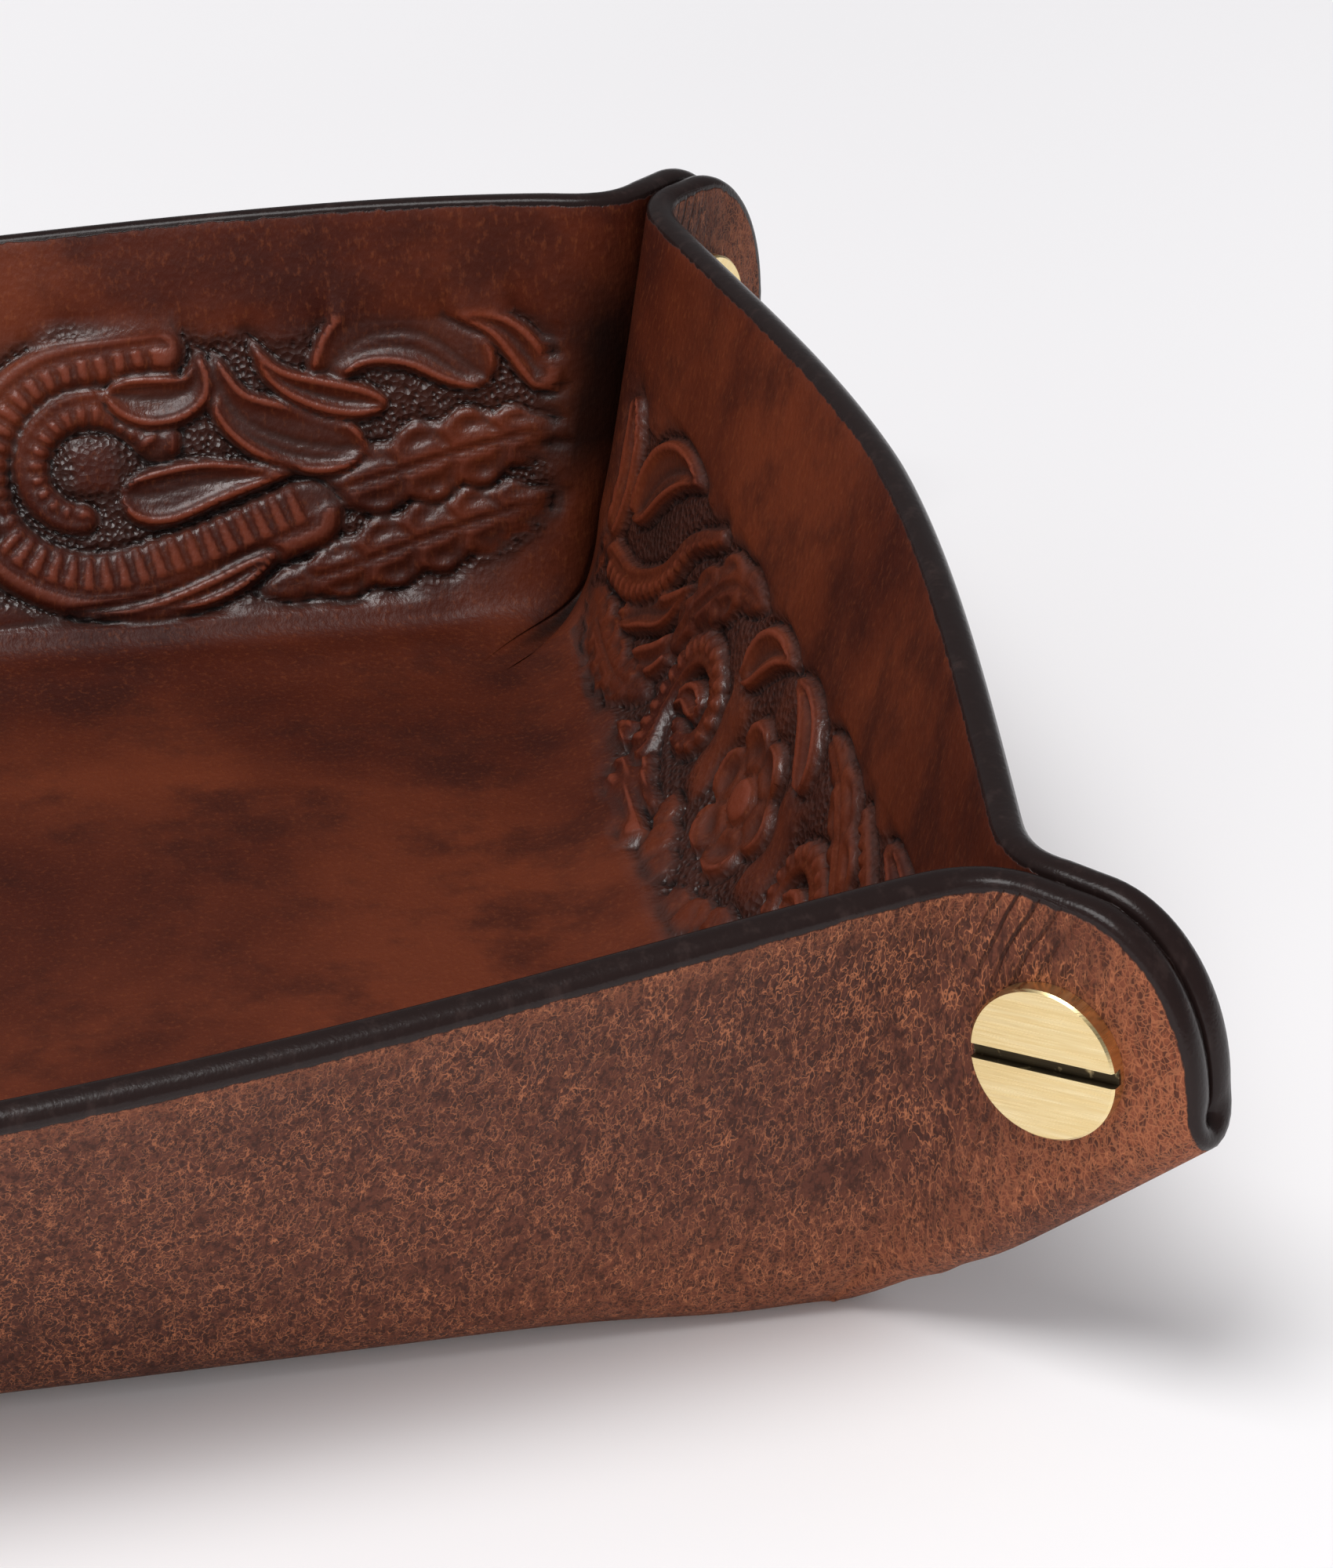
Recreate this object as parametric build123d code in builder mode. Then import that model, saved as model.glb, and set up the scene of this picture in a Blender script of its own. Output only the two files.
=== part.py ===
from build123d import *
from math import cos, exp, radians, sin, sqrt, tan
import os

# A valet tray folded from one sheet of thick leather, in millimetres.
# The underside of the floor lies on Z = 0, the long sides run along X.
# At each corner the leather is pinched grain side to grain side into an ear
# that points out along the diagonal, and a brass binding post goes through it.

# Leather sheet: its thickness, the fold lines of its walls and the gap between an ear's two layers
leather_thickness = 2.1
fold_length = 160.0
fold_width = 100.0
layer_gap = 0.6

# Lean of the walls from upright in degrees, at their middles and at a corner,
# the outer radii of the bends at their foot, and how fast a wall leans out away from its corner
long_wall_lean = 31.8
short_wall_lean = 19.6
corner_lean = 12.5
long_wall_bend = 6.0
short_wall_bend = 19.0
corner_bend = 6.5
bow_power = 1.6

# Heights of the rim above the table, and the parts of a wall's half length and
# of its rim's drop that are reached together on the way from the corner
rim_height_long_wall = 29.6
rim_height_short_wall = 35.8
rim_height_corner = 34.4
rim_run_share = 0.5
rim_drop_share = 0.6

# Plan bend from a wall into an ear, measured back from the knee on the outer face
knee_on_wall = 4.5
knee_on_ear = 2.8

# Fold under an ear, seen along the diagonal from the corner of the fold lines:
# its slope in degrees, where its straight would meet the table,
# how far it runs on under the floor's corner, and how high that corner lifts towards it
ear_fold_angle = 41.3
ear_fold_start = 1.15
fold_nub = 2.5
corner_lift_height = 2.2

# Outline of an ear in its own plane, as reach along the diagonal and height above the table
ear_top_reach = 13.5
ear_top_height = 34.2
ear_shoulder_reach = 19.6
ear_shoulder_height = 30.7
ear_side_reach = 22.4
ear_side_height = 23.5
ear_tip_reach = 22.6

# Binding post: reach and height of its axis, head and barrel
post_reach = 13.0
post_height = 23.4
head_diameter = 10.0
head_thickness = 1.2
head_edge = 0.15
barrel_diameter = 5.0
barrel_wall = 0.75
barrel_mouth = 0.3
blind_end = 0.5

# Screw: its slot, the neck under its head and its tip
slot_width = 1.0
slot_depth = 0.6
neck_length = 0.6
neck_depth = 0.3
tip_chamfer = 0.4

# Turn of each screw's slot from the line of its ear, in degrees
slot_turns = {"front_right": 5, "front_left": 62, "back_right": -36, "back_left": 20}

# Clearances: barrel in leather and shank in barrel (radial), heads off the leather,
# barrel short of the screw's head, shank short of the bore's blind end
leather_clearance = 0.05
thread_clearance = 0.05
seat_clearance = 0.03
barrel_end_clearance = 0.3
shank_end_clearance = 0.3

# One overrun for every cutter, and the shares of the height at which the leather is sectioned
overrun = 5.0
level_shares = (0, 0.004, 0.014, 0.032, 0.06, 0.10, 0.15, 0.21, 0.28, 0.36, 0.46, 0.58, 0.72, 0.86, 1)

half_length = fold_length / 2
half_width = fold_width / 2
half_sheet = leather_thickness / 2
ear_half = layer_gap / 2 + leather_thickness
diagonal = sqrt(0.5)
top = max(rim_height_corner, rim_height_long_wall, rim_height_short_wall, ear_top_height)
corners = {"front_right": (1, -1), "front_left": (-1, -1), "back_right": (1, 1), "back_left": (-1, 1)}


def face_offset(height, lean, bend, depth):
    """How far outside its fold line a wall's face stands at a height, depth 0 being the outer face."""
    turn = radians(90 - lean)
    radius = bend - depth
    if height < bend - radius * cos(turn):
        return sqrt(max(radius**2 - (bend - height) ** 2, 0)) - (bend - half_sheet) * tan(turn / 2)
    return (height - half_sheet) * tan(radians(lean)) + (half_sheet - depth) / cos(radians(lean))


def fold_reach(height, depth):
    """Reach of the fold under an ear at a height, on its outer or its inner side."""
    slope = radians(ear_fold_angle)
    rise = height - depth
    lift = exp(-rise / corner_lift_height)
    slant = depth * (1 - cos(slope)) / sin(slope)
    corner = face_offset(height, corner_lean, corner_bend, depth) / diagonal
    return (ear_fold_start + rise / tan(slope) - slant) * (1 - lift) + (corner + fold_nub) * lift


def wall_and_knee(half_run, half_across, middle, corner, side, on_wall, on_ear, end):
    """Plan of a wall's face and of its bend into the ear, as (along, across) points.

    middle and corner are the face's offsets there, side is how far the ear's
    face stands from the diagonal, and end is the reach at which that face stops."""
    step = side / diagonal
    wall_end = half_run + corner - step - on_wall

    def across(along):
        return half_across + middle - (middle - corner) * (abs(along) / half_run) ** bow_power

    slope = -(middle - corner) * bow_power * (wall_end / half_run) ** (bow_power - 1) / half_run
    knee = (across(wall_end) - slope * wall_end + half_run - half_across - step) / (1 - slope)
    knee_reach = (knee - half_run) / diagonal + side
    run = min(on_ear, (end - knee_reach) / 2) * diagonal
    return {
        "wall": [(wall_end * share, across(wall_end * share)) for share in (-1, -0.5, 0, 0.5, 1)],
        "slope": slope,
        "knee": (knee, knee + half_across - half_run + step),
        "ear": (knee + run, knee + run + half_across - half_run + step),
        "end": (half_run + (end - side) * diagonal, half_across + (end + side) * diagonal),
    }


def outline(height, depth):
    """Plan outline of the leather's outer face (depth 0) or inner face at a height."""
    side = ear_half - depth
    spread = depth * tan(radians(45 / 2))
    knees = (knee_on_wall + spread, knee_on_ear + spread)
    end = fold_reach(height, depth)
    nose = side if depth == 0 else 0
    corner = face_offset(height, corner_lean, corner_bend, depth)
    long_middle = face_offset(height, long_wall_lean, long_wall_bend, depth)
    short_middle = face_offset(height, short_wall_lean, short_wall_bend, depth)
    long_wall = wall_and_knee(half_length, half_width, long_middle, corner, side, *knees, end - nose)
    short_wall = wall_and_knee(half_width, half_length, short_middle, corner, side, *knees, end - nose)
    with BuildLine() as plan:
        for sign in (1, -1):
            Spline(
                [(along, sign * across) for along, across in long_wall["wall"]],
                tangents=[(1, -sign * long_wall["slope"]), (1, sign * long_wall["slope"])],
            )
            Spline(
                [(sign * across, along) for along, across in short_wall["wall"]],
                tangents=[(-sign * short_wall["slope"], 1), (sign * short_wall["slope"], 1)],
            )
        for sx, sy in corners.values():
            ends = []
            for wall, flip in ((long_wall, False), (short_wall, True)):
                bend = [wall["wall"][-1], wall["knee"], wall["ear"], wall["end"]]
                if flip:
                    bend = [(across, along) for along, across in bend]
                start, knee, ear, tip = [(sx * x, sy * y) for x, y in bend]
                Bezier(start, knee, ear)
                Line(ear, tip)
                ends.append(tip)
            if nose:
                middle = (half_length + end * diagonal, half_width + end * diagonal)
                ThreePointArc(ends[0], (sx * middle[0], sy * middle[1]), ends[1])
            else:
                Line(ends[0], ends[1])
    return Pos(0, 0, height) * make_face(plan.edges())


def ear_plane(sx, sy):
    """Plane of an ear: X outward along the diagonal from the corner of the fold lines, Y up."""
    return Plane(
        origin=(sx * half_length, sy * half_width, 0),
        x_dir=(sx * diagonal, sy * diagonal, 0),
        z_dir=(sy * diagonal, -sx * diagonal, 0),
    )


def post_plane(sx, sy):
    """Plane across a binding post at the middle of its ear: Z runs out to the long wall's side."""
    return Plane(
        origin=(sx * (half_length + post_reach * diagonal), sy * (half_width + post_reach * diagonal), post_height),
        x_dir=(sx * diagonal, sy * diagonal, 0),
        z_dir=(-sx * diagonal, sy * diagonal, 0),
    )


def rim_profile(half_run, middle_height):
    """Side view of what is cut away above the rim along one pair of walls."""
    drop = rim_height_corner - middle_height
    knee_height = rim_height_corner - drop * rim_drop_share
    reach = half_run + ear_side_reach + overrun
    high = top + 2 * overrun
    Spline(
        (-half_run, rim_height_corner),
        (-half_run * rim_run_share, knee_height),
        (0, middle_height),
        (half_run * rim_run_share, knee_height),
        (half_run, rim_height_corner),
    )
    for sign in (1, -1):
        Line((sign * half_run, rim_height_corner), (sign * reach, rim_height_corner))
        Line((sign * reach, rim_height_corner), (sign * reach, high))
    Line((-reach, high), (reach, high))


os.makedirs("parts", exist_ok=True)

# Leather sheet: an outer form less an inner form, each lofted through its plan outlines
outer_rise = top + overrun
inner_rise = outer_rise + overrun - leather_thickness
outer_faces = [outline(share * outer_rise, 0) for share in level_shares]
inner_faces = [outline(leather_thickness + share * inner_rise, leather_thickness) for share in level_shares]

with BuildPart() as leather_tray:
    loft(outer_faces, ruled=True, clean=False)
    loft(inner_faces, ruled=True, clean=False, mode=Mode.SUBTRACT)
    # Rim of the long walls, then of the short walls, cut to height outside their fold lines
    for view, half_run, half_across, middle_height in (
        (Plane.XZ, half_length, half_width, rim_height_long_wall),
        (Plane.YZ, half_width, half_length, rim_height_short_wall),
    ):
        for side in (1, -1):
            with BuildSketch(view.offset(side * half_across)):
                with BuildLine():
                    rim_profile(half_run, middle_height)
                make_face()
            extrude(amount=side * fold_width, clean=False, mode=Mode.SUBTRACT)
    # Ears rounded to their outline
    for sx, sy in corners.values():
        with BuildSketch(ear_plane(sx, sy)):
            with BuildLine():
                far = ear_side_reach + 2 * outer_rise
                high = top + 2 * overrun
                Line((far, 0), (far, high))
                Line((far, high), (ear_top_reach, high))
                Line((ear_top_reach, high), (ear_top_reach, ear_top_height))
                Spline(
                    (ear_top_reach, ear_top_height),
                    (ear_shoulder_reach, ear_shoulder_height),
                    (ear_side_reach, ear_side_height),
                    (ear_tip_reach, ear_side_height / 2),
                    tangents=[(1, 0), (0, -1)],
                )
                Line((ear_tip_reach, ear_side_height / 2), (ear_tip_reach, 0))
                Line((ear_tip_reach, 0), (far, 0))
            make_face()
        extrude(amount=ear_half + overrun, both=True, clean=False, mode=Mode.SUBTRACT)
        with BuildSketch(post_plane(sx, sy)):
            Circle(barrel_diameter / 2 + leather_clearance)
        extrude(amount=ear_half + overrun, both=True, clean=False, mode=Mode.SUBTRACT)
leather_tray.part.label = "leather_tray"
export_step(leather_tray.part, "parts/leather_tray.step")

# Binding posts and screws, one pair through each ear, heads flat on the leather.
# The screw's head is on the long wall's side, the post's on the short wall's side.
head_seat = ear_half + seat_clearance
head_radius = head_diameter / 2
barrel_radius = barrel_diameter / 2
bore_radius = barrel_radius - barrel_wall
shank_radius = bore_radius - thread_clearance
neck_radius = shank_radius - neck_depth
barrel_end = head_seat - barrel_end_clearance
bore_bottom = -head_seat - head_thickness + blind_end
shank_end = bore_bottom + shank_end_clearance

for name, (sx, sy) in corners.items():
    across = post_plane(sx, sy)
    section = Plane(origin=across.origin, x_dir=across.x_dir, z_dir=(0, 0, sx * sy))
    axis = Axis(across.origin, across.z_dir)

    with BuildPart() as binding_post:
        with BuildSketch(section):
            with BuildLine():
                Polyline(
                    (0, -head_seat - head_thickness),
                    (head_radius - head_edge, -head_seat - head_thickness),
                    (head_radius, -head_seat - head_thickness + head_edge),
                    (head_radius, -head_seat),
                    (barrel_radius, -head_seat),
                    (barrel_radius, barrel_end),
                    (bore_radius + barrel_mouth, barrel_end),
                    (bore_radius, barrel_end - barrel_mouth),
                    (bore_radius, bore_bottom),
                    (0, bore_bottom),
                    close=True,
                )
            make_face()
        revolve(axis=axis)
    binding_post.part.label = name + "_binding_post"
    export_step(binding_post.part, "parts/" + name + "_binding_post.step")

    with BuildPart() as slotted_screw:
        with BuildSketch(section):
            with BuildLine():
                Polyline(
                    (0, head_seat + head_thickness),
                    (head_radius - head_edge, head_seat + head_thickness),
                    (head_radius, head_seat + head_thickness - head_edge),
                    (head_radius, head_seat),
                    (neck_radius, head_seat),
                    (neck_radius, head_seat - neck_length),
                    (shank_radius, head_seat - neck_length - neck_depth),
                    (shank_radius, shank_end + tip_chamfer),
                    (shank_radius - tip_chamfer, shank_end),
                    (0, shank_end),
                    close=True,
                )
            make_face()
        revolve(axis=axis)
        with BuildSketch(across.offset(head_seat + head_thickness)):
            Rectangle(head_diameter + 2 * overrun, slot_width, rotation=slot_turns[name])
        extrude(amount=-slot_depth, mode=Mode.SUBTRACT)
    slotted_screw.part.label = name + "_slotted_screw"
    export_step(slotted_screw.part, "parts/" + name + "_slotted_screw.step")
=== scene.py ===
from math import cos, pi, radians, sin, sqrt, tan

import bpy
import numpy as np
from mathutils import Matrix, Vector


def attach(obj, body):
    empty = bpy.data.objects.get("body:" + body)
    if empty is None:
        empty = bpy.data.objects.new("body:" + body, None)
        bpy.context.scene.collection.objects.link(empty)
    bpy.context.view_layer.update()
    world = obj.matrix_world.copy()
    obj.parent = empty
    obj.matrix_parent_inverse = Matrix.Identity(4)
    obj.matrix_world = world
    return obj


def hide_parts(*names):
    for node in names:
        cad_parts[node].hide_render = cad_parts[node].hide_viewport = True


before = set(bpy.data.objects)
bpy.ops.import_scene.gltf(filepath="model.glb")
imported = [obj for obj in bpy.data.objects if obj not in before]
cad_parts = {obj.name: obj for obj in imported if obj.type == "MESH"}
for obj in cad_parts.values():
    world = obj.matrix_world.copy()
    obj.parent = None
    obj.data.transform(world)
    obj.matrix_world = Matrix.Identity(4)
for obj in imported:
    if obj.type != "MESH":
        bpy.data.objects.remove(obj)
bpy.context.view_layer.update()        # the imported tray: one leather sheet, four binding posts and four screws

bpy.ops.object.select_all(action="DESELECT")
MM = 0.001

# Leather sheet: one piece of thick veg-tanned leather, creased along the fold lines of its floor.
# Its walls are bent up by hand and lean out between the corners, and each corner is pinched,
# grain side to grain side, into an ear that points out along the diagonal.
SHEET = 2.1
HALF_SHEET = SHEET / 2
HALF_LENGTH = 80.0
HALF_WIDTH = 50.0
LAYER_GAP = 0.6
LONG_WALL = {"lean": 31.8, "bend": 6.0, "rim": 29.6}
SHORT_WALL = {"lean": 19.6, "bend": 19.0, "rim": 35.8}
CORNER = {"lean": 12.5, "bend": 6.5, "rim": 34.4}
BOW_POWER = 1.6
EAR_HALF = LAYER_GAP / 2 + SHEET
LAYER_MIDDLE = EAR_HALF - HALF_SHEET
KNEE_ON_WALL = 4.5 + HALF_SHEET * tan(radians(22.5))
KNEE_ON_EAR = 2.8 + HALF_SHEET * tan(radians(22.5))
FOLD_SLOPE = tan(radians(41.3))
FOLD_START = 1.15
FOLD_NUB = 1.0
FOLD_LIFT = 2.2
FOLD_EASE = 1.5
FOLD_SAG = 0.785
EAR_TOP = (13.5, 34.2)
EAR_TIP = (22.45, 21.9)
FOLD_END_HEIGHT = 20.15
EDGE_ROUND = 0.5
RIM_RUN_ON = 1.5
DIAGONAL = sqrt(0.5)


def face_offset(height, wall, depth=HALF_SHEET):
    """How far outside its fold line a wall stands at each height, depth 0 being its outer face."""
    lean = radians(wall["lean"])
    turn = radians(90) - lean
    radius = wall["bend"] - depth
    bent = np.sqrt(np.maximum(radius**2 - (wall["bend"] - height) ** 2, 0))
    bent = bent - (wall["bend"] - HALF_SHEET) * tan(turn / 2)
    straight = (height - HALF_SHEET) * tan(lean) + (HALF_SHEET - depth) / cos(lean)
    return np.where(height < wall["bend"] - radius * cos(turn), bent, straight)


def rim_height(along, half_run, wall):
    """Height of the rim over one wall, from its middle to the corner."""
    share = np.clip(np.abs(along) / half_run, 0, 1)
    return wall["rim"] + (CORNER["rim"] - wall["rim"]) * (1.8 * share**2 - 0.8 * share**4)


def fold_reach(height):
    """Reach along the diagonal of the outer fold under an ear."""
    lift = np.exp(-height / FOLD_LIFT)
    corner = face_offset(height, CORNER, 0) / DIAGONAL
    return (FOLD_START + height / FOLD_SLOPE) * (1 - lift) + (corner + FOLD_NUB) * lift


def fold_frame(height):
    """Point of the outer fold and its normal into the leather, in the ear's plane."""
    step = 0.05
    run = (fold_reach(height + step) - fold_reach(np.maximum(height - step, 0))) / step
    run = run / np.where(height < step, 1, 2)
    size = np.sqrt(run**2 + 1)
    return fold_reach(height), height, -1 / size, run / size


def wall_columns(half_run, half_across, wall, shares, counts):
    """Middle surface of half a wall, its knee and its layer of the ear, column by column.

    Returns along, across and height arrays, one row per column, from the wall's middle outwards."""
    wall_count, knee_count, ear_count = counts
    step = LAYER_MIDDLE / DIAGONAL
    ear_rim = CORNER["rim"] - EDGE_ROUND

    def heights_to(rim):
        return HALF_SHEET + (rim - HALF_SHEET) * shares

    def across_at(along, height):
        middle = face_offset(height, wall)
        corner = face_offset(height, CORNER)
        return half_across + middle - (middle - corner) * (np.abs(along) / half_run) ** BOW_POWER

    columns = []
    for share in np.linspace(0, 1, wall_count):
        rim = rim_height(share * (half_run + RIM_RUN_ON), half_run, wall) - EDGE_ROUND
        height = heights_to(rim)
        end = half_run + face_offset(height, CORNER) - step - KNEE_ON_WALL
        columns.append((share * end, across_at(share * end, height), height))
    height = heights_to(ear_rim)
    end = half_run + face_offset(height, CORNER) - step - KNEE_ON_WALL
    start = across_at(end, height)
    bow = face_offset(height, wall) - face_offset(height, CORNER)
    slope = -bow * BOW_POWER * (end / half_run) ** (BOW_POWER - 1) / half_run
    knee = (start - slope * end + half_run - half_across - step) / (1 - slope)
    knee_reach = (knee - half_run) / DIAGONAL + LAYER_MIDDLE

    # the fold's line, eased so that it starts level with the floor
    fold_height = shares * FOLD_END_HEIGHT
    reach, rise, inward, upward = fold_frame(fold_height)
    ease = 1 - np.exp(-fold_height / FOLD_EASE)
    last_reach = reach + HALF_SHEET * inward + LAYER_MIDDLE * (ease * inward - (1 - ease))
    last_height = rise + HALF_SHEET * upward + LAYER_MIDDLE * ease * upward
    last_height = np.maximum(last_height, HALF_SHEET)
    run = np.minimum(KNEE_ON_EAR, (last_reach - knee_reach) / 2) * DIAGONAL
    ear = (knee + run, knee + run + half_across - half_run + step)
    middle = (knee, knee + half_across - half_run + step)
    for share in np.linspace(0, 1, knee_count + 2)[1:]:
        along = (1 - share) ** 2 * end + 2 * share * (1 - share) * middle[0] + share**2 * ear[0]
        across = (1 - share) ** 2 * start + 2 * share * (1 - share) * middle[1] + share**2 * ear[1]
        columns.append((along, across, height))

    # the ear's rounded outline, from the knee to the fold
    first_reach = knee_reach + run / DIAGONAL
    turn = np.linspace(0, pi / 2, 60)
    tip = (EAR_TIP[0] - EDGE_ROUND, EAR_TIP[1])
    top = (EAR_TOP[0], EAR_TOP[1] - EDGE_ROUND)
    line = [(first_reach[-1], ear_rim)]
    for a in turn:
        line.append((top[0] + (tip[0] - top[0]) * sin(a), tip[1] + (top[1] - tip[1]) * cos(a)))
    line = np.array(line)
    length = np.concatenate([[0], np.cumsum(np.hypot(*np.diff(line, axis=0).T))])
    for share in np.linspace(0, 1, ear_count + 1)[1:]:
        reach = np.interp(share * length[-1], length, line[:, 0])
        level = np.interp(share * length[-1], length, line[:, 1])
        reach = (reach - line[0, 0]) / (line[-1, 0] - line[0, 0])
        level = (level - line[-1, 1]) / (line[0, 1] - line[-1, 1])
        reach = first_reach + (last_reach - first_reach) * reach
        level = last_height + (height - last_height) * level
        out = (reach - LAYER_MIDDLE) * DIAGONAL
        columns.append((half_run + out, half_across + out + step, level))
    return [np.array(part) for part in zip(*columns)]


def fold_columns(shares, count):
    """Middle surface round the fold of an ear, from one layer to the other."""
    columns = []
    for turn in np.linspace(pi / 2, -pi / 2, count + 2)[1:-1]:
        fold_height = shares * FOLD_END_HEIGHT
        fold_height = np.maximum(fold_height - FOLD_SAG * cos(turn) * shares, 0)
        reach, rise, inward, upward = fold_frame(fold_height)
        ease = 1 - np.exp(-fold_height / FOLD_EASE)
        swing = LAYER_MIDDLE * (1 - cos(turn))
        reach = reach + HALF_SHEET * inward + swing * (ease * inward - (1 - ease))
        level = np.maximum(rise + HALF_SHEET * upward + swing * ease * upward, HALF_SHEET)
        side = LAYER_MIDDLE * sin(turn)
        along = HALF_LENGTH + (reach - side) * DIAGONAL
        across = HALF_WIDTH + (reach + side) * DIAGONAL
        columns.append((along, across, level))
    return [np.array(part) for part in zip(*columns)]


def all_round(shares, counts):
    """The sheet's middle surface as one ring of columns, clockwise seen from above.

    Also returns each column's place along its wall and the wall it belongs to."""
    wall_count, knee_count, ear_count, fold_count = counts
    long_counts = (wall_count[0], knee_count, ear_count)
    x, y, z = wall_columns(HALF_LENGTH, HALF_WIDTH, LONG_WALL, shares, long_counts)
    fold = fold_columns(shares, fold_count)
    short_counts = (wall_count[1], knee_count, ear_count)
    across, along, height = wall_columns(HALF_WIDTH, HALF_LENGTH, SHORT_WALL, shares, short_counts)
    short = (along[::-1], across[::-1], height[::-1])
    quarter = [np.concatenate(parts) for parts in zip((x, y, z), fold, short)]
    count = len(quarter[0])
    wall = np.where(np.arange(count) < len(x), 0, 1)
    order = [(1, 1, np.arange(count)), (1, -1, np.arange(count - 2, -1, -1)),
             (-1, -1, np.arange(1, count)), (-1, 1, np.arange(count - 2, 0, -1))]
    ring = [[], [], []]
    walls = []
    for sx, sy, index in order:
        ring[0].append(sx * quarter[0][index])
        ring[1].append(sy * quarter[1][index])
        ring[2].append(quarter[2][index])
        walls.append(np.where(wall[index] == 0, 0 if sy > 0 else 2, 1 if sx > 0 else 3))
    middle = np.stack([np.concatenate(part) for part in ring], -1)
    return middle, np.concatenate(walls)


def unit(vectors):
    size = np.linalg.norm(vectors, axis=-1, keepdims=True)
    return vectors / np.maximum(size, 1e-9)


def ramp(value, start, width):
    """From 0 at start to 1 a width further, which is lower down for a negative width."""
    return np.clip((value - start) / width, 0, 1)


# levels up a wall: close in the tooled band, wide above it
TOOLED_UP_TO = 24
TOOLED_STEP = 0.34
levels = [0, 0.05, 0.2, 0.45, 0.8, 1.2, 1.6, 2.05, 2.5]
while levels[-1] < TOOLED_UP_TO:
    levels.append(levels[-1] + TOOLED_STEP)
levels += [25, 26.5, 28.2, 30, 31.6, 32.6]
levels = np.array(levels)
shares = levels / levels[-1]

# columns on half a long and half a short wall, in a knee, on a layer of an ear and in its fold
COLUMN_COUNTS = ((190, 115), 8, 30, 9)
middle, walls = all_round(shares, COLUMN_COUNTS)
columns, rows, _ = middle.shape
on_long_wall = walls % 2 == 0
reach = (np.abs(middle[..., 0]) - HALF_LENGTH + np.abs(middle[..., 1]) - HALF_WIDTH) * DIAGONAL
behind = middle - np.roll(middle, 1, 0)
ahead = np.roll(behind, -1, 0)
step_ratio = np.linalg.norm(ahead, axis=2, keepdims=True) + 0.0001
step_ratio = step_ratio / (np.linalg.norm(behind, axis=2, keepdims=True) + 0.0001)
round_step = behind * step_ratio + ahead / step_ratio
up_step = np.gradient(middle, axis=1)
normal = unit(np.cross(round_step, up_step))

# at the corners the sheet leaves the floor level, before it turns up into the ears
LEVEL_FROM_REACH = -8.2
LEVEL_EASE = 1.2
TURNED_UP_AT = 1.8
at_corner = ramp(reach[:, :1], LEVEL_FROM_REACH, LEVEL_EASE)
off_floor = ramp(middle[..., 2], HALF_SHEET, TURNED_UP_AT)
own_turn = 1 - at_corner * (1 - off_floor**2 * (3 - 2 * off_floor))
own_turn = own_turn[..., None]
normal = unit(normal * own_turn + np.array((0, 0, 1)) * (1 - own_turn))
upward = unit(middle[:, -1] - middle[:, -2])

# each point's place on its wall: along it, and the climb over the foot of the tooling
tooled_from = np.where(on_long_wall, 4.2, 3.0)
steps_up = np.linalg.norm(np.diff(middle, axis=1), axis=2)
climb = np.concatenate([np.zeros((columns, 1)), np.cumsum(steps_up, 1)], 1)
start = [np.interp(tooled_from[i], middle[i, :, 2], climb[i]) for i in range(columns)]
climb = climb - np.array(start)[:, None]
along = np.where(on_long_wall[:, None], middle[..., 0], middle[..., 1])

# Tooling: scrolls, petals and leaves carved and bevelled into the damp grain side of each wall.
# A swivel knife cuts the outlines, a beveller presses the ground down beside them, and the
# cuts between veins and ribs are left open, so that the antique finish settles in them.
CELL = 0.15
BAND = 24.0
GROUND_DEPTH = 0.62
CUT_DEPTH = 0.5
MATTED_GAP = 2.1
UNCARVED = -50.0


def trace(points, count=70):
    """A smooth curve through points, as an array."""
    points = np.array(points, float)
    knots = np.concatenate([[0], np.cumsum(np.hypot(*np.diff(points, axis=0).T))])
    fine = np.linspace(0, knots[-1], count)
    ends = np.vstack([2 * points[0] - points[1], points, 2 * points[-1] - points[-2]])
    line = []
    for value in fine:
        i = min(np.searchsorted(knots, value, side="right") - 1, len(points) - 2)
        t = (value - knots[i]) / (knots[i + 1] - knots[i])
        a, b, c, d = ends[i:i + 4]
        squared = (2 * a - 5 * b + 4 * c - d) * t**2
        cubed = (3 * b - a - 3 * c + d) * t**3
        line.append(0.5 * (2 * b + (c - a) * t + squared + cubed))
    return np.array(line)


def spiral(centre, radius, end_radius, start_turn, turns, count=110):
    """A scroll's line, winding in from radius to end_radius."""
    share = np.linspace(0, 1, count)
    angle = 2 * pi * (start_turn + turns * share)
    size = radius + (end_radius - radius) * share**0.8
    return np.stack([centre[0] + size * np.cos(angle), centre[1] + size * np.sin(angle)], 1)


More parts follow.
